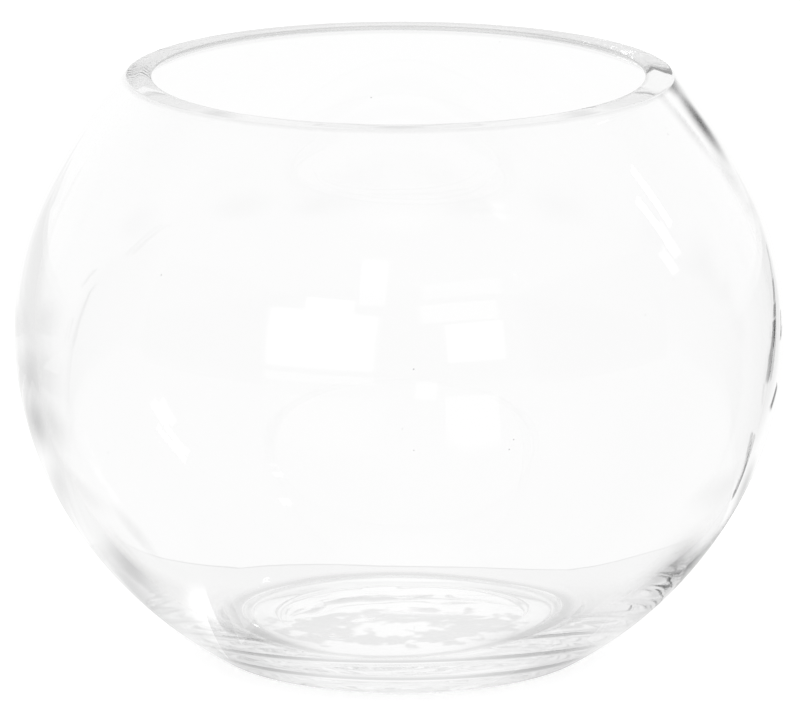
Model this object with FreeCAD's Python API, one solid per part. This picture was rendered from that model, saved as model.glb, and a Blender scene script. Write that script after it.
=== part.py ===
import FreeCAD, Part
import math
import os

# A blown clear glass rose bowl, one piece of glass, in millimetres and degrees.
# Origin: centre of the foot on the surface it stands on. +Z is up, along the axis of the bowl.

# Driving dimensions of the outside
BOWL_DIAMETER = 200.0
BOWL_HEIGHT = 152.5
WIDEST_HEIGHT = 84.7
SHOULDER_RADIUS = 82.2
SHOULDER_TURN = 27.0
BELLY_RADIUS = 90.8
BELLY_TURN = 30.3
FOOT_DIAMETER = 93.8
HEEL_ROUND = 6.0

# Driving dimensions of the mouth and its fire-polished rim
MOUTH_DIAMETER = 127.2
RIM_LAND_WIDTH = 4.1
RIM_INNER_ROUND = 1.6
RIM_OUTER_ROUND = 2.4

# Driving dimensions of the inside
SIDE_WALL = 4.1
FLOOR_HEIGHT = 5.4
FLOOR_DIAMETER = 93.4
FLOOR_DISH_RADIUS = 420.0
FLOOR_CORNER_RADIUS = 18.0

# Driving dimensions of the recess under the foot and of the smaller kick inside it
FOOT_RING_WIDTH = 2.7
RECESS_DEPTH = 1.8
RECESS_STEP_TURN = 45.0
RECESS_SHELF_WIDTH = 6.0
KICK_DEPTH = 0.5
KICK_SLOPE_WIDTH = 1.2

QUARTER_TURN = 90.0
FULL_TURN = 360.0


def unit(vector):
    """The vector at a length of one."""
    return FreeCAD.Vector(vector).normalize()


def heading(degrees):
    """The direction in the section plane that stands at an angle above the outward radius."""
    angle = math.radians(degrees)
    return FreeCAD.Vector(math.cos(angle), 0, math.sin(angle))


def arc(centre, start, end):
    """The shorter arc about a centre, from start to end."""
    middle = centre + unit((start - centre) + (end - centre)) * (start - centre).Length
    return Part.Arc(start, middle, end).toShape()


def line(start, end):
    """A straight edge."""
    return Part.LineSegment(start, end).toShape()


def blend(start, outward, circle_centre, circle_radius):
    """The arc that leaves start square to outward and ends tangent to a circle.

    A negative radius means that the arc meets the circle from outside it. The result is the centre
    of the arc and the point where it meets the circle.
    """
    gap = start - circle_centre
    radius = (gap.dot(gap) - circle_radius ** 2) / (2 * (gap.dot(outward) - circle_radius))
    centre = start - outward * radius
    meeting = centre + (circle_centre - centre) * (radius / (radius - circle_radius))
    return centre, meeting


def rim_circles():
    """The centres of the two rounds of the rim, at the mouth and outside."""
    mouth_centre_radius = MOUTH_DIAMETER / 2 + RIM_INNER_ROUND
    inner = FreeCAD.Vector(mouth_centre_radius, 0, BOWL_HEIGHT - RIM_INNER_ROUND)
    outer = FreeCAD.Vector(mouth_centre_radius + RIM_LAND_WIDTH, 0, BOWL_HEIGHT - RIM_OUTER_ROUND)
    return inner, outer


def outside_edges():
    """The outer surface, from the foot ring up to the land of the rim."""
    widest = FreeCAD.Vector(BOWL_DIAMETER / 2, 0, WIDEST_HEIGHT)
    heel_centre = FreeCAD.Vector(FOOT_DIAMETER / 2, 0, HEEL_ROUND)
    foot_edge = FreeCAD.Vector(FOOT_DIAMETER / 2, 0, 0)
    belly_centre = widest - heading(0) * BELLY_RADIUS
    belly_end = belly_centre + heading(-BELLY_TURN) * BELLY_RADIUS
    lower_centre, heel_start = blend(belly_end, heading(-BELLY_TURN), heel_centre, HEEL_ROUND)
    shoulder_centre = widest - heading(0) * SHOULDER_RADIUS
    shoulder_end = shoulder_centre + heading(SHOULDER_TURN) * SHOULDER_RADIUS
    rim_centre = rim_circles()[1]
    neck_centre, rim_start = blend(shoulder_end, heading(SHOULDER_TURN), rim_centre, RIM_OUTER_ROUND)
    land_edge = FreeCAD.Vector(rim_centre.x, 0, BOWL_HEIGHT)
    return [
        arc(heel_centre, foot_edge, heel_start),
        arc(lower_centre, heel_start, belly_end),
        arc(belly_centre, belly_end, widest),
        arc(shoulder_centre, widest, shoulder_end),
        arc(neck_centre, shoulder_end, rim_start),
        arc(rim_centre, rim_start, land_edge),
    ]


def inside_edges():
    """The inner surface, from the land of the rim down to the middle of the floor."""
    widest = FreeCAD.Vector(BOWL_DIAMETER / 2 - SIDE_WALL, 0, WIDEST_HEIGHT)
    inner_shoulder_radius = SHOULDER_RADIUS - SIDE_WALL
    rim_centre = rim_circles()[0]
    land_edge = FreeCAD.Vector(rim_centre.x, 0, BOWL_HEIGHT)
    mouth_edge = FreeCAD.Vector(MOUTH_DIAMETER / 2, 0, rim_centre.z)
    shoulder_centre = widest - heading(0) * inner_shoulder_radius
    shoulder_end = shoulder_centre + heading(SHOULDER_TURN) * inner_shoulder_radius
    neck_centre, rim_end = blend(shoulder_end, heading(SHOULDER_TURN), rim_centre, -RIM_INNER_ROUND)
    floor_middle = FreeCAD.Vector(0, 0, FLOOR_HEIGHT)
    dish_centre = FreeCAD.Vector(0, 0, FLOOR_HEIGHT + FLOOR_DISH_RADIUS)
    dish_turn = math.degrees(math.asin(FLOOR_DIAMETER / 2 / FLOOR_DISH_RADIUS))
    dish_edge = dish_centre + heading(dish_turn - QUARTER_TURN) * FLOOR_DISH_RADIUS
    corner_centre = dish_edge - heading(dish_turn - QUARTER_TURN) * FLOOR_CORNER_RADIUS
    belly_centre, belly_end = blend(widest, heading(0), corner_centre, FLOOR_CORNER_RADIUS)
    return [
        arc(rim_centre, land_edge, mouth_edge),
        arc(rim_centre, mouth_edge, rim_end),
        arc(neck_centre, rim_end, shoulder_end),
        arc(shoulder_centre, shoulder_end, widest),
        arc(belly_centre, widest, belly_end),
        arc(corner_centre, belly_end, dish_edge),
        arc(dish_centre, dish_edge, floor_middle),
    ]


def recess_step_edges(start):
    """The soft step into the recess: two equal arcs that lead inwards and up from start."""
    round_radius = RECESS_DEPTH / (2 * (1 - math.cos(math.radians(RECESS_STEP_TURN))))
    slant = heading(-QUARTER_TURN - RECESS_STEP_TURN)
    lower_centre = start + FreeCAD.Vector(0, 0, round_radius)
    middle = lower_centre + slant * round_radius
    upper_centre = middle + slant * round_radius
    end = upper_centre + FreeCAD.Vector(0, 0, round_radius)
    return [arc(lower_centre, start, middle), arc(upper_centre, middle, end)], end


def underside_edges():
    """The foot ring, the recess, its shelf and the flat kick, from the foot's edge to the axis."""
    foot_edge = FreeCAD.Vector(FOOT_DIAMETER / 2, 0, 0)
    ring_edge = foot_edge - heading(0) * FOOT_RING_WIDTH
    recess_step, shelf_start = recess_step_edges(ring_edge)
    shelf_end = shelf_start - heading(0) * RECESS_SHELF_WIDTH
    kick_edge = shelf_end + FreeCAD.Vector(-KICK_SLOPE_WIDTH, 0, KICK_DEPTH)
    kick_middle = FreeCAD.Vector(0, 0, kick_edge.z)
    ring = line(foot_edge, ring_edge)
    shelf = line(shelf_start, shelf_end)
    kick_slope = line(shelf_end, kick_edge)
    kick = line(kick_edge, kick_middle)
    return [ring] + recess_step + [shelf, kick_slope, kick], kick_middle


def glass_bowl():
    """The bowl: its closed section, turned once round the axis."""
    rim_inner, rim_outer = rim_circles()
    land_outer_edge = FreeCAD.Vector(rim_outer.x, 0, BOWL_HEIGHT)
    land_inner_edge = FreeCAD.Vector(rim_inner.x, 0, BOWL_HEIGHT)
    land = line(land_outer_edge, land_inner_edge)
    underside, kick_middle = underside_edges()
    axis = line(kick_middle, FreeCAD.Vector(0, 0, FLOOR_HEIGHT))
    edges = outside_edges() + [land] + inside_edges() + underside + [axis]
    section = Part.Face(Part.Wire(Part.__sortEdges__(edges)))
    return section.revolve(FreeCAD.Vector(0, 0, 0), FreeCAD.Vector(0, 0, 1), FULL_TURN)


def main():
    """Build the bowl and export it."""
    os.makedirs("parts", exist_ok=True)
    bowl = glass_bowl()
    print("valid", bowl.isValid(), "volume", bowl.Volume, "box", bowl.optimalBoundingBox())
    bowl.exportStep("parts/glass_bowl.step")


main()
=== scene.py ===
import bpy
import math
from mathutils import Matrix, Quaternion, Vector, noise


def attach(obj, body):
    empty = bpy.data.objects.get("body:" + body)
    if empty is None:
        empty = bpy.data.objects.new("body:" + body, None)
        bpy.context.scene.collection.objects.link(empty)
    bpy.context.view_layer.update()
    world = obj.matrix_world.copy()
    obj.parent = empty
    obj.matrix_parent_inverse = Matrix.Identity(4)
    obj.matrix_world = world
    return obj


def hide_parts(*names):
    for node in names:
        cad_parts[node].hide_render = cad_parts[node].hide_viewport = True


# A clear glass rose bowl on a pale floor. Lengths are in metres and angles in degrees.
# The bowl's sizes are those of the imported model, but for a crisper rim and an inside shoulder of a
# smaller radius. Hand-made unevenness is added to them.

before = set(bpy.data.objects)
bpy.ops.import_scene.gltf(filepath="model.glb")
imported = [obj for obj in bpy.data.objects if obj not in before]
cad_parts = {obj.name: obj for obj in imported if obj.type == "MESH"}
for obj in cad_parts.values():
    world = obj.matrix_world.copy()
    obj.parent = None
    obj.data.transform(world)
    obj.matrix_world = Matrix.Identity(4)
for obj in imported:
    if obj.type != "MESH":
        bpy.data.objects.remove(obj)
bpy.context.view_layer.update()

# The outside
BOWL_RADIUS = 0.1
BOWL_HEIGHT = 0.1525
WIDEST_HEIGHT = 0.0847
SHOULDER_RADIUS = 0.0822
SHOULDER_TURN = 27.0
BELLY_RADIUS = 0.0908
BELLY_TURN = 30.3
FOOT_RADIUS = 0.0469
HEEL_ROUND = 0.006

# The mouth and its rim
MOUTH_RADIUS = 0.0636
RIM_LAND_WIDTH = 0.0063
RIM_INNER_ROUND = 0.0003
RIM_OUTER_ROUND = 0.001

# The inside
SIDE_WALL = 0.0041
INNER_SHOULDER_RADIUS = 0.074
FLOOR_HEIGHT = 0.0054
FLOOR_RADIUS = 0.0467
FLOOR_DISH_RADIUS = 0.42
FLOOR_CORNER_RADIUS = 0.018

# The underside
FOOT_RING_WIDTH = 0.0027
RECESS_DEPTH = 0.0018
RECESS_STEP_TURN = 45.0
RECESS_SHELF_WIDTH = 0.006
KICK_DEPTH = 0.0005
KICK_SLOPE_WIDTH = 0.0012

# Turns, the way up, and the middle of a range from 0 to 1
QUARTER_TURN = 90.0
FULL_TURN = 360.0
UP = Vector((0, 0, 1))
MIDDLE_SHARE = 0.5

# Unevenness of the hand-made glass
WALL_WAVE_DEPTH = 0.0002
WALL_WAVE_SIZE = 0.04
INSIDE_SHIFT = 0.0006
MOUTH_SHIFT = -0.0003
FOOT_SHIFT = 0.0006
FOOT_SHIFT_TOP = 0.045
RIM_FRONT_DROP = 0.00065
RIM_DROP_START = 0.11
FLOOR_RIPPLE_DEPTH = 0.0002
FLOOR_RIPPLE_SIZE = 0.02
FLOOR_RIPPLE_REACH = 0.05
KICK_RIPPLE_DEPTH = 0.0007
KICK_RIPPLE_SIZE = 0.012
KICK_RIPPLE_REACH = 0.036
RIPPLE_FADE = 0.008
RIPPLE_SEED = Vector((3.1, 7.7, 1.9))

# Segments of the mesh round the axis, and steps along each stretch of its section
SEGMENTS = 440
KICK_STEPS = 22
KICK_SLOPE_STEPS = 3
SHELF_STEPS = 5
RECESS_ROUND_STEPS = 5
FOOT_RING_STEPS = 3
HEEL_STEPS = 8
LOWER_BODY_STEPS = 16
BELLY_STEPS = 14
SHOULDER_STEPS = 12
NECK_STEPS = 10
RIM_OUTER_STEPS = 7
RIM_LAND_STEPS = 3
RIM_INNER_STEPS = 6
RIM_UNDERCUT_STEPS = 4
INNER_NECK_STEPS = 9
INNER_SHOULDER_STEPS = 12
INNER_BELLY_STEPS = 20
FLOOR_CORNER_STEPS = 12
FLOOR_STEPS = 24

# The skin of the glass
GLASS_IOR = 1.5
TINT_SCALE = 22.0
TINT_LOW = 0.99
TINT_HIGH = 1.0
# Painted shade on the rim of the glass, darkest at the edge of the mouth
RIM_SHADE = 0.85
RIM_SHADE_START = 0.1508
RIM_SHADE_END = 0.1516
MOUTH_EDGE_SHADE = 0.6
MOUTH_EDGE_SHADE_START = 0.064
MOUTH_EDGE_SHADE_END = 0.0645
SPECK_SCALE = 60.0
SPECK_START = 0.01
SPECK_END = 0.018
SPECK_TINT = 0.4
HAZE_SCALE = 60.0
HAZE_START = 0.55
HAZE_END = 0.8
HAZE_HIGH = 0.02
PEEL_SCALE = 90.0
PEEL_STRENGTH = 0.02
PEEL_HEIGHT = 0.0002

# The camera
CAMERA_DISTANCE = 2.0
CAMERA_ELEVATION = 13.31
CAMERA_AIM_HEIGHT = 0.07662
PIXELS_PER_METRE = 3849.0
IMAGE_WIDTH = 800
IMAGE_HEIGHT = 713
AIM_PIXEL_X = 399.6
AIM_PIXEL_Y = 359.1
SENSOR_WIDTH_MM = 36.0

# The floor: its plain look, and what the glass shows of it
FLOOR_SIZE = 12.0
FLOOR_COLOUR = 0.8
FLOOR_GLOW = 0.6
TABLE_EDGE = 0.053
TABLE_EDGE_BLUR = 0.0005
TABLE_TONE = 0.925
SWEEP_TONE = 1.0
SIDE_TONE = 0.84
SWEEP_LEFT = 0.1
SWEEP_LEFT_SPREAD = 0.3
SWEEP_RIGHT = 0.11
SWEEP_RIGHT_SPREAD = 0.35
SWEEP_BLUR = 0.05
EDGE_LINE_WIDTH = 0.0012
EDGE_LINE_TONE = 0.78
# Under the foot, a pool of painted light; round the foot, a ring of painted shade
POOL_Y = -0.01
POOL_HALF_WIDTH = 0.032
POOL_HALF_DEPTH = 0.02
POOL_RIPPLE = 1.6
POOL_RIPPLE_SCALE = 150.0
POOL_MIDDLE_START = 0.25
POOL_MIDDLE_END = 0.5
POOL_BORDER_START = 0.9
POOL_BORDER_END = 1.1
POOL_GREY_TONE = 0.76
POOL_BRIGHT_TONE = 1.0
POOL_REACH = 0.041
POOL_BLUR = 0.002
FOOT_SHADE_TONE = 0.72
FOOT_SHADE_START = 0.045
FOOT_SHADE_END = 0.05

# The room round the bowl
WHITE = (1, 1, 1, 1)
ROOM_TONE = 0.85
BACK_TONE = 1.0
BACK_START = 0.25
BACK_END = 0.9
CEILING_TONE = 0.88
CEILING_START = 0.35
CEILING_END = 0.8

# Cards that stand round the bowl. Each has its azimuth, elevation, width, height and tone.
CARD_DISTANCE = 1.5
CARD_BLUR = 0.15
DARK_ARM = (158.5, 7.2, 17.0, 7.5, 0.0)
MIRRORED_ARM = (153.5, 7.0, 15.0, 8.5, 0.0)
DARK_ARM_ROLL = -40.0
LOW_SOFTBOX = (98.5, 22.5, 4.0, 8.0, 2.0)
MIRRORED_CARDS = {
    "left_corner": (-58.0, 13.0, 45.0, 34.0, 0.72),
    "right_corner": (61.0, 13.0, 48.0, 34.0, 0.7),
    "window_left": (-23.0, 13.5, 34.0, 21.0, 1.9),
    "window_left_top": (-21.5, 24.0, 15.0, 8.0, 1.95),
    "window_left_sill": (-23.0, 0.5, 34.0, 3.0, 1.4),
    "lamp_head": (-8.5, 34.0, 8.0, 17.0, 1.6),
    "window_right": (22.0, 13.0, 18.0, 14.0, 1.9),
    "window_right_top": (18.0, 23.5, 24.0, 7.0, 1.5),
    "window_right_shelf": (20.0, 31.5, 24.0, 6.0, 1.25),
}

# Strips that lie on the floor. Each has its start, end, first and last width, and tone.
LYING_LIFT = 0.0002
LYING_CARDS = {
    "dark_gap_near": ((0.13, 0.058), (0.19, 0.108), 0.007, 0.009, 0.05),
    "dark_gap_far": ((0.238, 0.2), (0.4, 0.52), 0.016, 0.036, 0.05),
    "dark_gap_back": ((0.4, 0.52), (0.6, 1.1), 0.036, 0.05, 0.35),
    "dark_gap_edge": ((0.24, 0.344), (0.265, 0.435), 0.012, 0.014, 0.2),
    "dark_gap_end": ((0.183, 0.186), (0.19, 0.24), 0.012, 0.014, 0.3),
}

# Strips of light on the floor that show only where the glass mirrors them
MIRRORED_LYING_CARDS = {
    "floor_light_right": ((0.078, -0.24), (0.354, -0.986), 0.06, 0.27, 1.5),
    "floor_light_left": ((-0.07, -0.24), (-0.268, -0.9), 0.12, 0.5, 1.08),
}

# Soft round patches of painted shade and painted light on the floor. Each has its x, y, radius and tone.
PATCHES = {
    # Painted shade on the floor to the left, behind the bowl
    "left_soft_shade_near": (-0.175, 0.175, 0.06, 0.45),
    "left_soft_shade_far": (-0.22, 0.25, 0.095, 0.6),
    "left_soft_shade_end": (-0.25, 0.37, 0.1, 0.7),
    "left_back_shade": (-0.128, 0.092, 0.038, 0.7),
    "right_back_shade": (0.125, 0.1, 0.04, 0.7),
    "left_shade": (-0.045, -0.042, 0.03, 0.35),
    "right_shade": (0.046, -0.042, 0.036, 0.4),
    "left_far_shade": (-0.086, 0.005, 0.034, 0.5),
    "right_far_shade": (0.088, 0.0, 0.034, 0.5),
    "front_light": (0.0, -0.095, 0.05, 1.15),
    "left_light": (-0.061, -0.042, 0.015, 2.2),
}

# The lamp
LAMP_AZIMUTH = 103.0
LAMP_ELEVATION = 29.0
LAMP_WIDTH = 0.06
LAMP_HEIGHT = 0.26
LAMP_WATTS = 0.3

# How often light may bounce
BOUNCES = 128


def heading(degrees):
    """The direction in the section plane that stands at an angle above the outward radius."""
    angle = math.radians(degrees)
    return Vector((math.cos(angle), math.sin(angle)))


def arc_points(centre, start, end, steps):
    """Points along the shorter arc about a centre, from just past start to end."""
    radius = (start - centre).length
    first = math.atan2(start.y - centre.y, start.x - centre.x)
    last = math.atan2(end.y - centre.y, end.x - centre.x)
    turn = math.remainder(last - first, math.tau)
    angles = [math.degrees(first + turn * step / steps) for step in range(1, steps + 1)]
    return [centre + heading(angle) * radius for angle in angles]


def line_points(start, end, steps):
    """Points along a straight run, from just past start to end."""
    return [start.lerp(end, step / steps) for step in range(1, steps + 1)]


def blend(start, outward, circle_centre, circle_radius):
    """The centre of the arc that leaves start square to outward, and where it meets a circle."""
    gap = start - circle_centre
    radius = (gap.dot(gap) - circle_radius ** 2) / (2 * (gap.dot(outward) - circle_radius))
    centre = start - outward * radius
    meeting = centre + (circle_centre - centre) * (radius / (radius - circle_radius))
    return centre, meeting


def underside_run():
    """The section from the middle of the kick out to the edge of the foot."""
    foot_edge = Vector((FOOT_RADIUS, 0))
    ring_edge = foot_edge - heading(0) * FOOT_RING_WIDTH
    round_radius = RECESS_DEPTH / (2 * (1 - math.cos(math.radians(RECESS_STEP_TURN))))
    slant = heading(-QUARTER_TURN - RECESS_STEP_TURN)
    lower_centre = ring_edge + heading(QUARTER_TURN) * round_radius
    middle = lower_centre + slant * round_radius
    upper_centre = middle + slant * round_radius
    shelf_start = upper_centre + heading(QUARTER_TURN) * round_radius
    shelf_end = shelf_start - heading(0) * RECESS_SHELF_WIDTH
    kick_edge = shelf_end + Vector((-KICK_SLOPE_WIDTH, KICK_DEPTH))
    kick_middle = Vector((0, kick_edge.y))
    return (
        [kick_middle]
        + line_points(kick_middle, kick_edge, KICK_STEPS)
        + line_points(kick_edge, shelf_end, KICK_SLOPE_STEPS)
        + line_points(shelf_end, shelf_start, SHELF_STEPS)
        + arc_points(upper_centre, shelf_start, middle, RECESS_ROUND_STEPS)
        + arc_points(lower_centre, middle, ring_edge, RECESS_ROUND_STEPS)
        + line_points(ring_edge, foot_edge, FOOT_RING_STEPS)
    )


def outside_run():
    """The section from the edge of the foot up to the land of the rim."""
    foot_edge = Vector((FOOT_RADIUS, 0))
    heel_centre = Vector((FOOT_RADIUS, HEEL_ROUND))
    widest = Vector((BOWL_RADIUS, WIDEST_HEIGHT))
    belly_centre = widest - heading(0) * BELLY_RADIUS
    belly_end = belly_centre + heading(-BELLY_TURN) * BELLY_RADIUS
    lower_centre, heel_start = blend(belly_end, heading(-BELLY_TURN), heel_centre, HEEL_ROUND)
    shoulder_centre = widest - heading(0) * SHOULDER_RADIUS
    shoulder_end = shoulder_centre + heading(SHOULDER_TURN) * SHOULDER_RADIUS
    rim_centre_radius = MOUTH_RADIUS + RIM_INNER_ROUND + RIM_LAND_WIDTH
    rim_centre = Vector((rim_centre_radius, BOWL_HEIGHT - RIM_OUTER_ROUND))
    neck_centre, rim_start = blend(shoulder_end, heading(SHOULDER_TURN), rim_centre, RIM_OUTER_ROUND)
    land_edge = Vector((rim_centre_radius, BOWL_HEIGHT))
    return (
        arc_points(heel_centre, foot_edge, heel_start, HEEL_STEPS)
        + arc_points(lower_centre, heel_start, belly_end, LOWER_BODY_STEPS)
        + arc_points(belly_centre, belly_end, widest, BELLY_STEPS)
        + arc_points(shoulder_centre, widest, shoulder_end, SHOULDER_STEPS)
        + arc_points(neck_centre, shoulder_end, rim_start, NECK_STEPS)
        + arc_points(rim_centre, rim_start, land_edge, RIM_OUTER_STEPS)
    )


def inside_run():
    """The section from the land of the rim down to the middle of the floor."""
    widest = Vector((BOWL_RADIUS - SIDE_WALL, WIDEST_HEIGHT))
    rim_centre = Vector((MOUTH_RADIUS + RIM_INNER_ROUND, BOWL_HEIGHT - RIM_INNER_ROUND))
    land_start = Vector((rim_centre.x + RIM_LAND_WIDTH, BOWL_HEIGHT))
    land_end = Vector((rim_centre.x, BOWL_HEIGHT))
    mouth_edge = Vector((MOUTH_RADIUS, rim_centre.y))
    shoulder_centre = widest - heading(0) * INNER_SHOULDER_RADIUS
    shoulder_end = shoulder_centre + heading(SHOULDER_TURN) * INNER_SHOULDER_RADIUS
    neck_centre, rim_end = blend(shoulder_end, heading(SHOULDER_TURN), rim_centre, -RIM_INNER_ROUND)
    floor_middle = Vector((0, FLOOR_HEIGHT))
    dish_centre = Vector((0, FLOOR_HEIGHT + FLOOR_DISH_RADIUS))
    dish_turn = math.degrees(math.asin(FLOOR_RADIUS / FLOOR_DISH_RADIUS))
    dish_edge = dish_centre + heading(dish_turn - QUARTER_TURN) * FLOOR_DISH_RADIUS
    corner_centre = dish_edge - heading(dish_turn - QUARTER_TURN) * FLOOR_CORNER_RADIUS
    belly_centre, belly_end = blend(widest, heading(0), corner_centre, FLOOR_CORNER_RADIUS)
    return (
        line_points(land_start, land_end, RIM_LAND_STEPS)
        + arc_points(rim_centre, land_end, mouth_edge, RIM_INNER_STEPS)
        + arc_points(rim_centre, mouth_edge, rim_end, RIM_UNDERCUT_STEPS)
        + arc_points(neck_centre, rim_end, shoulder_end, INNER_NECK_STEPS)
        + arc_points(shoulder_centre, shoulder_end, widest, INNER_SHOULDER_STEPS)
        + arc_points(belly_centre, widest, belly_end, INNER_BELLY_STEPS)
        + arc_points(corner_centre, belly_end, dish_edge, FLOOR_CORNER_STEPS)
        + arc_points(dish_centre, dish_edge, floor_middle, FLOOR_STEPS)
    )


def smooth_share(value, low, high):
    """0 up to low, 1 from high on, and a smooth rise between them."""
    share = min(1, max(0, (value - low) / (high - low)))
    return share * share * (3 - 2 * share)


def rim_drop(point):
    """How far the rim, cut a little out of level, lies below its back at a point."""
    front_share = smooth_share(-point.y, -MOUTH_RADIUS, MOUTH_RADIUS)
    return RIM_FRONT_DROP * front_share * smooth_share(point.z, RIM_DROP_START, BOWL_HEIGHT)


def uneven_outside(point):
    """A point of the outer skin, with the foot a little to one side of the axis."""
    foot_share = 1 - smooth_share(point.z, 0, FOOT_SHIFT_TOP)
    return point + Vector((FOOT_SHIFT * foot_share, 0, -rim_drop(point)))


def uneven_underside(point):
    """A point of the underside, with cooling ripples inside the recess."""
    radius = math.hypot(point.x, point.y)
    ripple_share = 1 - smooth_share(radius, KICK_RIPPLE_REACH - RIPPLE_FADE, KICK_RIPPLE_REACH)
    ripple = noise.noise(point / KICK_RIPPLE_SIZE + RIPPLE_SEED) * KICK_RIPPLE_DEPTH * ripple_share
    return point + Vector((FOOT_SHIFT, 0, ripple))


def uneven_inside(point):
    """A point of the inner skin, with waves in the wall, ripples in the floor and its own shift."""
    radius = math.hypot(point.x, point.y)
    up_share = smooth_share(point.z, WIDEST_HEIGHT, BOWL_HEIGHT)
    down_share = 1 - smooth_share(point.z, 0, FOOT_SHIFT_TOP)
    shift = INSIDE_SHIFT + (MOUTH_SHIFT - INSIDE_SHIFT) * up_share
    shift = shift + (FOOT_SHIFT - INSIDE_SHIFT) * down_share
    middle = Vector((0, 0, WIDEST_HEIGHT))
    outward = (point - middle).normalized()
    wave_share = 1 - smooth_share(point.z, WIDEST_HEIGHT, BOWL_HEIGHT)
    wave = noise.noise(point / WALL_WAVE_SIZE + RIPPLE_SEED) * WALL_WAVE_DEPTH * wave_share
    floor_share = 1 - smooth_share(radius, FLOOR_RIPPLE_REACH - RIPPLE_FADE, FLOOR_RIPPLE_REACH)
    low_share = 1 - smooth_share(point.z, FLOOR_HEIGHT, FOOT_SHIFT_TOP)
    ripple = noise.noise(point / FLOOR_RIPPLE_SIZE + RIPPLE_SEED) * FLOOR_RIPPLE_DEPTH
    ripple = ripple * floor_share * low_share
    return point + outward * wave + Vector((shift, 0, ripple - rim_drop(point)))


def glass_mesh():
    """The bowl's closed skin: its section turned round the axis, with its unevenness."""
    skins = [(point, uneven_underside) for point in underside_run()]
    skins += [(point, uneven_outside) for point in outside_run()]
    skins += [(point, uneven_inside) for point in inside_run()]
    first_pole, last_pole = skins[0], skins[-1]
    rings = skins[1:-1]
    verts = []
    for section_point, uneven in rings:
        for step in range(SEGMENTS):
            around = heading(FULL_TURN * step / SEGMENTS)
            point = Vector((around.x * section_point.x, around.y * section_point.x, section_point.y))
            verts.append(uneven(point))
    for section_point, uneven in (first_pole, last_pole):
        verts.append(uneven(Vector((0, 0, section_point.y))))
    lower_pole = len(verts) - 2
    upper_pole = len(verts) - 1
    faces = []
    for ring in range(len(rings) - 1):
        for step in range(SEGMENTS):
            following = (step + 1) % SEGMENTS
            low = ring * SEGMENTS
            high = low + SEGMENTS
            faces.append((low + step, low + following, high + following, high + step))
    top = (len(rings) - 1) * SEGMENTS
    for step in range(SEGMENTS):
        following = (step + 1) % SEGMENTS
        faces.append((lower_pole, following, step))
        faces.append((upper_pole, top + step, top + following))
    mesh = bpy.data.meshes.new("bowl_glass")
    mesh.from_pydata(verts, [], faces)
    mesh.validate()
    mesh.shade_smooth()
    return mesh


def new_tree(owner):
    """An empty node tree for a material or a world."""
    owner.use_nodes = True
    owner.node_tree.nodes.clear()
    return owner.node_tree


def feed(tree, value, socket):
    """Links a value to a socket, or sets the socket where the value is a number."""
    if isinstance(value, bpy.types.NodeSocket):
        tree.links.new(value, socket)
    else:
        socket.default_value = value


def maths(tree, operation, first, second):
    """The result of a sum on two values."""
    node = tree.nodes.new("ShaderNodeMath")
    node.operation = operation
    feed(tree, first, node.inputs[0])
    feed(tree, second, node.inputs[1])
    return node.outputs[0]


def ramp(tree, value, start, end, first, last):
    """A smooth change from first to last while a value goes from start to end."""
    node = tree.nodes.new("ShaderNodeMapRange")
    node.interpolation_type = "SMOOTHSTEP"
    for name, setting in (("Value", value), ("From Min", start), ("From Max", end)):
        feed(tree, setting, node.inputs[name])
    for name, setting in (("To Min", first), ("To Max", last)):
        feed(tree, setting, node.inputs[name])
    return node.outputs["Result"]


def mixed(tree, share, first, second):
    """First where the share is 0 and second where it is 1."""
    node = tree.nodes.new("ShaderNodeMix")
    feed(tree, share, node.inputs["Factor"])
    feed(tree, first, node.inputs["A"])
    feed(tree, second, node.inputs["B"])
    return node.outputs["Result"]


def parts_of(tree, vector):
    """The x, y and z of a vector."""
    node = tree.nodes.new("ShaderNodeSeparateXYZ")
    feed(tree, vector, node.inputs[0])
    return node.outputs


def glow_of(tree, strength):
    """A white glow."""
    node = tree.nodes.new("ShaderNodeEmission")
    feed(tree, strength, node.inputs["Strength"])
    return node.outputs[0]


def mixed_shader(tree, share, first, second):
    """The first shader where the share is 0 and the second where it is 1."""
    node = tree.nodes.new("ShaderNodeMixShader")
    feed(tree, share, node.inputs[0])
    feed(tree, first, node.inputs[1])
    feed(tree, second, node.inputs[2])
    return node.outputs[0]


def cloud(tree, coordinates, scale):
    """A soft cloudy pattern from 0 to 1."""
    node = tree.nodes.new("ShaderNodeTexNoise")
    feed(tree, coordinates, node.inputs["Vector"])
    node.inputs["Scale"].default_value = scale
    return node.outputs["Fac"]


def radius_of(tree, place):
    """The distance of a point from the bowl's axis."""
    squares = [maths(tree, "MULTIPLY", place[part], place[part]) for part in ("X", "Y")]
    return maths(tree, "SQRT", maths(tree, "ADD", squares[0], squares[1]), 0)


def painted_rim_shade(tree, position):
    """1 on the body, with painted shade that greys the rim and is darkest at the edge of the mouth."""
    place = parts_of(tree, position)
    edge = ramp(tree, radius_of(tree, place), MOUTH_EDGE_SHADE_START, MOUTH_EDGE_SHADE_END, MOUTH_EDGE_SHADE, RIM_SHADE)
    rim_shade_share = ramp(tree, place["Z"], RIM_SHADE_START, RIM_SHADE_END, 0, 1)
    return mixed(tree, rim_shade_share, 1, edge)


def speck_tint(tree, position):
    """1 all over, but for a few dark specks of dust."""
    cells = tree.nodes.new("ShaderNodeTexVoronoi")
    feed(tree, position, cells.inputs["Vector"])
    cells.inputs["Scale"].default_value = SPECK_SCALE
    return ramp(tree, cells.outputs["Distance"], SPECK_START, SPECK_END, SPECK_TINT, 1)


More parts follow.
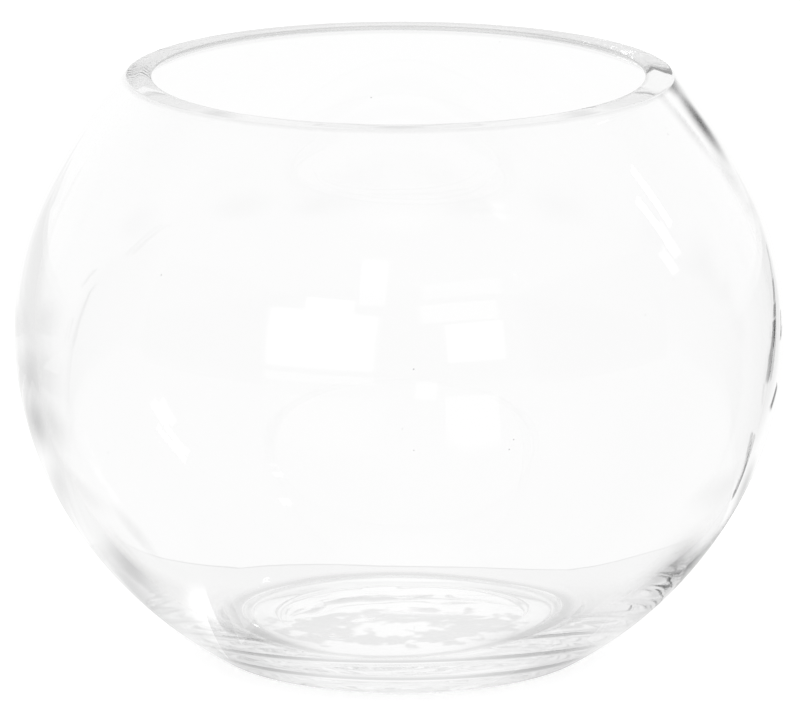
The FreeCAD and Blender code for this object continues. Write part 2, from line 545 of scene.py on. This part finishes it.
def glass_material():
    """Clear fire-polished glass: hardly any colour of its own, painted shade on the rim, a trace of haze
    and a faint orange-peel skin.
    """
    material = bpy.data.materials.new("clear_glass")
    material.use_nodes = True
    tree = material.node_tree
    shader = tree.nodes["Principled BSDF"]
    place = tree.nodes.new("ShaderNodeTexCoord").outputs["Object"]
    glass_tone_and_rim_shade = ramp(tree, cloud(tree, place, TINT_SCALE), 0, 1, TINT_LOW, TINT_HIGH)
    glass_tone_and_rim_shade = maths(tree, "MULTIPLY", glass_tone_and_rim_shade, painted_rim_shade(tree, place))
    glass_tone_and_rim_shade = maths(tree, "MULTIPLY", glass_tone_and_rim_shade, speck_tint(tree, place))
    feed(tree, glass_tone_and_rim_shade, shader.inputs["Base Color"])
    haze = ramp(tree, cloud(tree, place, HAZE_SCALE), HAZE_START, HAZE_END, 0, HAZE_HIGH)
    feed(tree, haze, shader.inputs["Roughness"])
    bump = tree.nodes.new("ShaderNodeBump")
    bump.inputs["Strength"].default_value = PEEL_STRENGTH
    bump.inputs["Distance"].default_value = PEEL_HEIGHT
    feed(tree, cloud(tree, place, PEEL_SCALE), bump.inputs["Height"])
    feed(tree, bump.outputs["Normal"], shader.inputs["Normal"])
    shader.inputs["Transmission Weight"].default_value = 1
    shader.inputs["IOR"].default_value = GLASS_IOR
    return material


def add_bowl():
    """The glass bowl, in place of the plain packed one."""
    bowl = bpy.data.objects.new("bowl_glass", glass_mesh())
    bpy.context.scene.collection.objects.link(bowl)
    bowl.data.materials.append(glass_material())
    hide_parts("glass_bowl")
    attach(bowl, "root")


def pool_tone(tree, position, place):
    """The light under the foot: a ragged grey pool with a bright middle in a bright surround."""
    across = maths(tree, "DIVIDE", place["X"], POOL_HALF_WIDTH)
    along = maths(tree, "DIVIDE", maths(tree, "SUBTRACT", place["Y"], POOL_Y), POOL_HALF_DEPTH)
    reach = radius_of(tree, {"X": across, "Y": along})
    ripple = maths(tree, "SUBTRACT", cloud(tree, position, POOL_RIPPLE_SCALE), MIDDLE_SHARE)
    reach = maths(tree, "ADD", reach, maths(tree, "MULTIPLY", ripple, POOL_RIPPLE))
    middle = ramp(tree, reach, POOL_MIDDLE_START, POOL_MIDDLE_END, POOL_BRIGHT_TONE, POOL_GREY_TONE)
    border_share = ramp(tree, reach, POOL_BORDER_START, POOL_BORDER_END, 0, 1)
    return mixed(tree, border_share, middle, POOL_BRIGHT_TONE)


def floor_tone(tree):
    """The tone of the floor in the glass: a white sweep behind, greyer sides and the table.

    Under the foot, painted light stands for the light that the glass gathers, in a cloudy pattern on the
    table, ringed by painted shade.
    """
    position = tree.nodes.new("ShaderNodeNewGeometry").outputs["Position"]
    place = parts_of(tree, position)
    across, back = place["X"], place["Y"]
    right_edge = maths(tree, "ADD", maths(tree, "MULTIPLY", back, SWEEP_RIGHT_SPREAD), SWEEP_RIGHT)
    left_edge = maths(tree, "ADD", maths(tree, "MULTIPLY", back, SWEEP_LEFT_SPREAD), SWEEP_LEFT)
    past_right = maths(tree, "SUBTRACT", across, right_edge)
    past_left = maths(tree, "SUBTRACT", maths(tree, "MULTIPLY", across, -1), left_edge)
    right_share = ramp(tree, past_right, 0, SWEEP_BLUR, 1, 0)
    left_share = ramp(tree, past_left, 0, SWEEP_BLUR, 1, 0)
    sweep_share = maths(tree, "MULTIPLY", right_share, left_share)
    sweep = mixed(tree, sweep_share, SIDE_TONE, SWEEP_TONE)
    radius = radius_of(tree, place)
    line_start = TABLE_EDGE - EDGE_LINE_WIDTH
    open_table = ramp(tree, back, line_start, line_start + TABLE_EDGE_BLUR, TABLE_TONE, EDGE_LINE_TONE)
    open_share = ramp(tree, radius, FOOT_SHADE_START, FOOT_SHADE_END, 0, 1)
    shaded_table = mixed(tree, open_share, FOOT_SHADE_TONE, open_table)
    under_share = ramp(tree, radius, POOL_REACH, POOL_REACH + POOL_BLUR, 0, 1)
    table = mixed(tree, under_share, pool_tone(tree, position, place), shaded_table)
    behind_share = ramp(tree, back, TABLE_EDGE, TABLE_EDGE + TABLE_EDGE_BLUR, 0, 1)
    return mixed(tree, behind_share, table, sweep)


def floor_material():
    """A white floor that keeps the bowl's shadow."""
    material = bpy.data.materials.new("pale_floor")
    tree = new_tree(material)
    diffuse = tree.nodes.new("ShaderNodeBsdfDiffuse")
    diffuse.inputs["Color"].default_value = (FLOOR_COLOUR, FLOOR_COLOUR, FLOOR_COLOUR, 1)
    shaded = tree.nodes.new("ShaderNodeAddShader")
    feed(tree, diffuse.outputs[0], shaded.inputs[0])
    feed(tree, glow_of(tree, FLOOR_GLOW), shaded.inputs[1])
    path = tree.nodes.new("ShaderNodeLightPath").outputs
    in_glass = maths(tree, "MAXIMUM", path["Is Transmission Ray"], path["Is Glossy Ray"])
    look = mixed_shader(tree, in_glass, shaded.outputs[0], glow_of(tree, floor_tone(tree)))
    output = tree.nodes.new("ShaderNodeOutputMaterial")
    feed(tree, look, output.inputs["Surface"])
    return material


def flat_mesh(name, width, height):
    """A flat rectangle about its own middle."""
    x, y = width / 2, height / 2
    mesh = bpy.data.meshes.new(name)
    mesh.from_pydata([(-x, -y, 0), (x, -y, 0), (x, y, 0), (-x, y, 0)], [], [(0, 1, 2, 3)])
    return mesh


def add_floor():
    """The floor that the bowl stands on."""
    floor = bpy.data.objects.new("floor", flat_mesh("floor", FLOOR_SIZE, FLOOR_SIZE))
    bpy.context.scene.collection.objects.link(floor)
    floor.data.materials.append(floor_material())


def add_world():
    """A room of soft light, whitest behind the bowl. The camera sees it as plain white."""
    world = bpy.data.worlds.new("studio")
    bpy.context.scene.world = world
    tree = new_tree(world)
    way = parts_of(tree, tree.nodes.new("ShaderNodeTexCoord").outputs["Generated"])
    walls = ramp(tree, way["Y"], BACK_START, BACK_END, ROOM_TONE, BACK_TONE)
    ceiling_share = ramp(tree, way["Z"], CEILING_START, CEILING_END, 0, 1)
    room = mixed(tree, ceiling_share, walls, CEILING_TONE)
    path = tree.nodes.new("ShaderNodeLightPath").outputs
    background = tree.nodes.new("ShaderNodeBackground")
    background.inputs["Color"].default_value = WHITE
    feed(tree, mixed(tree, path["Is Camera Ray"], room, 1), background.inputs["Strength"])
    output = tree.nodes.new("ShaderNodeOutputWorld")
    feed(tree, background.outputs[0], output.inputs["Surface"])


def towards(azimuth, elevation):
    """The direction from the bowl to a point of the studio. Azimuth 0 is the camera's side."""
    flat = math.cos(math.radians(elevation))
    around = math.radians(azimuth)
    return Vector((math.sin(around) * flat, -math.cos(around) * flat, math.sin(math.radians(elevation))))


def card_material(name, tone, is_round):
    """A glow of one tone that fades out at the card's border."""
    material = bpy.data.materials.new(name)
    tree = new_tree(material)
    place = parts_of(tree, tree.nodes.new("ShaderNodeTexCoord").outputs["Generated"])
    reaches = []
    for part in (place["X"], place["Y"]):
        off = maths(tree, "ABSOLUTE", maths(tree, "SUBTRACT", part, MIDDLE_SHARE), 0)
        reaches.append(maths(tree, "DIVIDE", off, MIDDLE_SHARE))
    if is_round:
        squares = [maths(tree, "MULTIPLY", reach, reach) for reach in reaches]
        reach = maths(tree, "SQRT", maths(tree, "ADD", squares[0], squares[1]), 0)
        share = ramp(tree, reach, 0, 1, 1, 0)
    else:
        shares = [ramp(tree, reach, 1 - CARD_BLUR, 1, 1, 0) for reach in reaches]
        share = maths(tree, "MULTIPLY", shares[0], shares[1])
    clear = tree.nodes.new("ShaderNodeBsdfTransparent")
    look = mixed_shader(tree, share, clear.outputs[0], glow_of(tree, tone))
    output = tree.nodes.new("ShaderNodeOutputMaterial")
    feed(tree, look, output.inputs["Surface"])
    return material


def add_card(name, mesh, tone, is_round=False):
    """A card that only the glass shows."""
    card = bpy.data.objects.new(name, mesh)
    bpy.context.scene.collection.objects.link(card)
    mesh.materials.append(card_material(name, tone, is_round))
    card.visible_camera = False
    card.visible_diffuse = False
    card.visible_shadow = False
    card.rotation_mode = "QUATERNION"
    return card


def add_standing_card(name, azimuth, elevation, width, height, tone, is_round=False):
    """A card that faces the bowl. Its width and height are angles seen from the bowl."""
    reach = 2 * CARD_DISTANCE
    wide = reach * math.tan(math.radians(width / 2))
    high = reach * math.tan(math.radians(height / 2))
    card = add_card(name, flat_mesh(name, wide, high), tone, is_round)
    direction = towards(azimuth, elevation)
    card.location = direction * CARD_DISTANCE + Vector((0, 0, WIDEST_HEIGHT))
    card.rotation_quaternion = direction.to_track_quat("Z", "Y")
    return card


def add_mirrored_card(name, azimuth, elevation, width, height, tone, is_round=False):
    """A standing card that shows where the glass mirrors it, and not through the glass."""
    card = add_standing_card(name, azimuth, elevation, width, height, tone, is_round)
    card.visible_transmission = False
    return card


def add_lying_card(name, start, end, first_width, last_width, tone):
    """A strip on the floor, from start to end."""
    start, end = Vector(start), Vector(end)
    along = end - start
    side = Vector((along.y, -along.x)).normalized()
    corners = [start - side * first_width / 2, start + side * first_width / 2]
    corners += [end + side * last_width / 2, end - side * last_width / 2]
    mesh = bpy.data.meshes.new(name)
    mesh.from_pydata([(corner.x, corner.y, LYING_LIFT) for corner in corners], [], [(0, 1, 2, 3)])
    return add_card(name, mesh, tone)


def add_patch(name, x, y, radius, tone):
    """A soft round patch on the floor."""
    card = add_card(name, flat_mesh(name, 2 * radius, 2 * radius), tone, is_round=True)
    card.location = (x, y, LYING_LIFT)


def add_cards():
    """What stands and lies round the bowl in the studio."""
    dark_arm = add_standing_card("dark_arm", *DARK_ARM, is_round=True)
    mirrored_arm = add_mirrored_card("dark_arm_side", *MIRRORED_ARM, is_round=True)
    for arm in (dark_arm, mirrored_arm):
        arm.rotation_quaternion @= Quaternion(UP, math.radians(DARK_ARM_ROLL))
    add_standing_card("softbox_low", *LOW_SOFTBOX)
    for name, values in MIRRORED_CARDS.items():
        add_mirrored_card(name, *values)
    for name, values in LYING_CARDS.items():
        add_lying_card(name, *values)
    for name, values in MIRRORED_LYING_CARDS.items():
        card = add_lying_card(name, *values)
        card.visible_transmission = False
    for name, values in PATCHES.items():
        add_patch(name, *values)


def add_lamp():
    """A soft lamp to the right, which the glass shows as bright strokes."""
    data = bpy.data.lights.new("softbox", "AREA")
    data.shape = "RECTANGLE"
    data.size = LAMP_WIDTH
    data.size_y = LAMP_HEIGHT
    data.energy = LAMP_WATTS
    lamp = bpy.data.objects.new("softbox", data)
    bpy.context.scene.collection.objects.link(lamp)
    direction = towards(LAMP_AZIMUTH, LAMP_ELEVATION)
    lamp.location = direction * CARD_DISTANCE + Vector((0, 0, WIDEST_HEIGHT))
    lamp.rotation_mode = "QUATERNION"
    lamp.rotation_quaternion = direction.to_track_quat("Z", "Y")


def add_camera():
    """The camera at the photograph's viewing angle."""
    data = bpy.data.cameras.new("camera")
    camera = bpy.data.objects.new("camera", data)
    bpy.context.scene.collection.objects.link(camera)
    aim = Vector((0, 0, CAMERA_AIM_HEIGHT))
    direction = towards(0, CAMERA_ELEVATION)
    camera.location = aim + direction * CAMERA_DISTANCE
    camera.rotation_mode = "QUATERNION"
    camera.rotation_quaternion = (-direction).to_track_quat("-Z", "Y")
    data.sensor_width = SENSOR_WIDTH_MM
    data.lens = SENSOR_WIDTH_MM * PIXELS_PER_METRE * CAMERA_DISTANCE / IMAGE_WIDTH
    data.shift_x = (IMAGE_WIDTH / 2 - AIM_PIXEL_X) / IMAGE_WIDTH
    data.shift_y = (AIM_PIXEL_Y - IMAGE_HEIGHT / 2) / IMAGE_WIDTH
    data.clip_end = FLOOR_SIZE * 2
    bpy.context.scene.camera = camera


def set_light_paths():
    """Many bounces, so that most light that is caught in the rim and the base comes out again."""
    scene = bpy.context.scene
    scene.view_settings.view_transform = "Standard"
    scene.cycles.max_bounces = BOUNCES
    scene.cycles.transmission_bounces = BOUNCES
    scene.cycles.glossy_bounces = BOUNCES


add_camera()
add_bowl()
add_floor()
add_world()
add_cards()
add_lamp()
set_light_paths()
